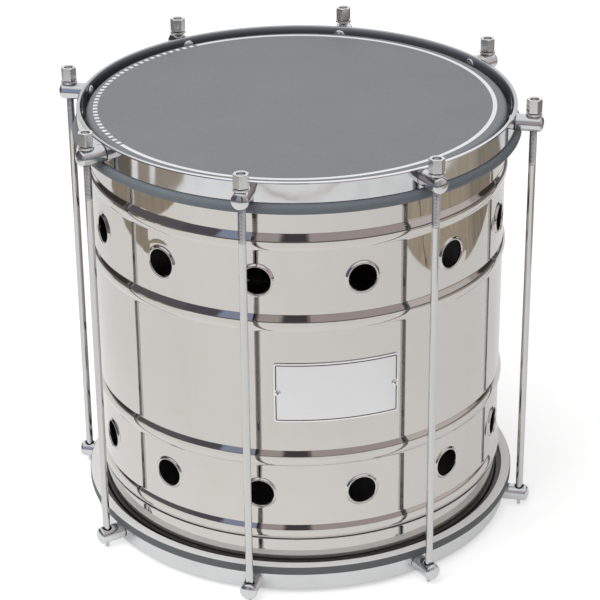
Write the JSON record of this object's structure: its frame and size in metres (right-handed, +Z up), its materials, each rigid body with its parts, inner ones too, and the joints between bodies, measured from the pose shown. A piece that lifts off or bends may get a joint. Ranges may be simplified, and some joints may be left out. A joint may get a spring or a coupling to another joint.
{
  "type": "repinique drum",
  "caption": "Tall samba drum: beaded steel shell with rows of round vent holes, a head at each end, flat steel hoops with round lugs, and tension rods with long hexagon nuts",
  "frame": {"origin": "on the drum's axis, level with the ends of the eight rod tails that it stands on", "axes": "+Z up along the drum's axis, -Y towards the badge, rods at 22.5 degrees and every 45 degrees on"},
  "size_m": [0.3358, 0.3358, 0.3344],
  "materials": {
    "steel_sheet": "rolled steel sheet, polished bright",
    "chrome": "chromed steel",
    "rivet": "domed aluminium rivet",
    "aluminium": "rolled aluminium channel, satin",
    "grey_film": "grey leather-like synthetic film, matte",
    "dark_film": "thin smoke-dark polyester film, glossy",
    "plate": "thin pale plate, satin, left bare"
  },
  "bodies": {
    "drum": {"shell": "steel_sheet", "badge_plate": "plate", "badge_rivet_left": "rivet", "badge_rivet_right": "rivet", "batter_head": "grey_film", "batter_ring": "grey_film", "resonant_head": "dark_film", "resonant_ring": "aluminium", "bottom_hoop": "chrome", "bottom_lug_1": "chrome", "bottom_lug_2": "chrome", "bottom_lug_3": "chrome", "bottom_lug_4": "chrome", "bottom_lug_5": "chrome", "bottom_lug_6": "chrome", "bottom_lug_7": "chrome", "bottom_lug_8": "chrome", "tension_rod_1": "chrome", "tension_rod_2": "chrome", "tension_rod_3": "chrome", "tension_rod_4": "chrome", "tension_rod_5": "chrome", "tension_rod_6": "chrome", "tension_rod_7": "chrome", "tension_rod_8": "chrome"},
    "top_hoop_set": {"top_hoop": "chrome", "top_lug_1": "chrome", "top_lug_2": "chrome", "top_lug_3": "chrome", "top_lug_4": "chrome", "top_lug_5": "chrome", "top_lug_6": "chrome", "top_lug_7": "chrome", "top_lug_8": "chrome", "lug_screw_1": "chrome", "lug_screw_2": "chrome", "lug_screw_3": "chrome", "lug_screw_4": "chrome", "lug_screw_5": "chrome", "lug_screw_6": "chrome", "lug_screw_7": "chrome", "lug_screw_8": "chrome", "washer_1": "chrome", "washer_2": "chrome", "washer_3": "chrome", "washer_4": "chrome", "washer_5": "chrome", "washer_6": "chrome", "washer_7": "chrome", "washer_8": "chrome"},
    "nut_1": {"tension_nut_1": "chrome"},
    "nut_2": {"tension_nut_2": "chrome"},
    "nut_3": {"tension_nut_3": "chrome"},
    "nut_4": {"tension_nut_4": "chrome"},
    "nut_5": {"tension_nut_5": "chrome"},
    "nut_6": {"tension_nut_6": "chrome"},
    "nut_7": {"tension_nut_7": "chrome"},
    "nut_8": {"tension_nut_8": "chrome"}
  },
  "joints": [
    {"name": "hoop_tension", "type": "slide", "parent": "drum", "child": "top_hoop_set", "axis": [0, 0, 1], "range_m": [0, 0.008]},
    {"name": "nut_turn_1", "type": "hinge", "parent": "top_hoop_set", "child": "nut_1", "pos_m": [0.06617, -0.15974, 0.3294], "axis": [0, 0, 1], "range_deg": [0, 2881]},
    {"name": "nut_turn_2", "type": "hinge", "parent": "top_hoop_set", "child": "nut_2", "pos_m": [0.15974, -0.06617, 0.3294], "axis": [0, 0, 1], "range_deg": [0, 2881]},
    {"name": "nut_turn_3", "type": "hinge", "parent": "top_hoop_set", "child": "nut_3", "pos_m": [0.15974, 0.06617, 0.3294], "axis": [0, 0, 1], "range_deg": [0, 2881]},
    {"name": "nut_turn_4", "type": "hinge", "parent": "top_hoop_set", "child": "nut_4", "pos_m": [0.06617, 0.15974, 0.3294], "axis": [0, 0, 1], "range_deg": [0, 2881]},
    {"name": "nut_turn_5", "type": "hinge", "parent": "top_hoop_set", "child": "nut_5", "pos_m": [-0.06617, 0.15974, 0.3294], "axis": [0, 0, 1], "range_deg": [0, 2881]},
    {"name": "nut_turn_6", "type": "hinge", "parent": "top_hoop_set", "child": "nut_6", "pos_m": [-0.15974, 0.06617, 0.3294], "axis": [0, 0, 1], "range_deg": [0, 2881]},
    {"name": "nut_turn_7", "type": "hinge", "parent": "top_hoop_set", "child": "nut_7", "pos_m": [-0.15974, -0.06617, 0.3294], "axis": [0, 0, 1], "range_deg": [0, 2881]},
    {"name": "nut_turn_8", "type": "hinge", "parent": "top_hoop_set", "child": "nut_8", "pos_m": [-0.06617, -0.15974, 0.3294], "axis": [0, 0, 1], "range_deg": [0, 2881]}
  ],
  "couplings": [
    {"joint": "nut_turn_1", "follows": "hoop_tension", "rad_per_m": 6283.2},
    {"joint": "nut_turn_2", "follows": "hoop_tension", "rad_per_m": 6283.2},
    {"joint": "nut_turn_3", "follows": "hoop_tension", "rad_per_m": 6283.2},
    {"joint": "nut_turn_4", "follows": "hoop_tension", "rad_per_m": 6283.2},
    {"joint": "nut_turn_5", "follows": "hoop_tension", "rad_per_m": 6283.2},
    {"joint": "nut_turn_6", "follows": "hoop_tension", "rad_per_m": 6283.2},
    {"joint": "nut_turn_7", "follows": "hoop_tension", "rad_per_m": 6283.2},
    {"joint": "nut_turn_8", "follows": "hoop_tension", "rad_per_m": 6283.2}
  ]
}
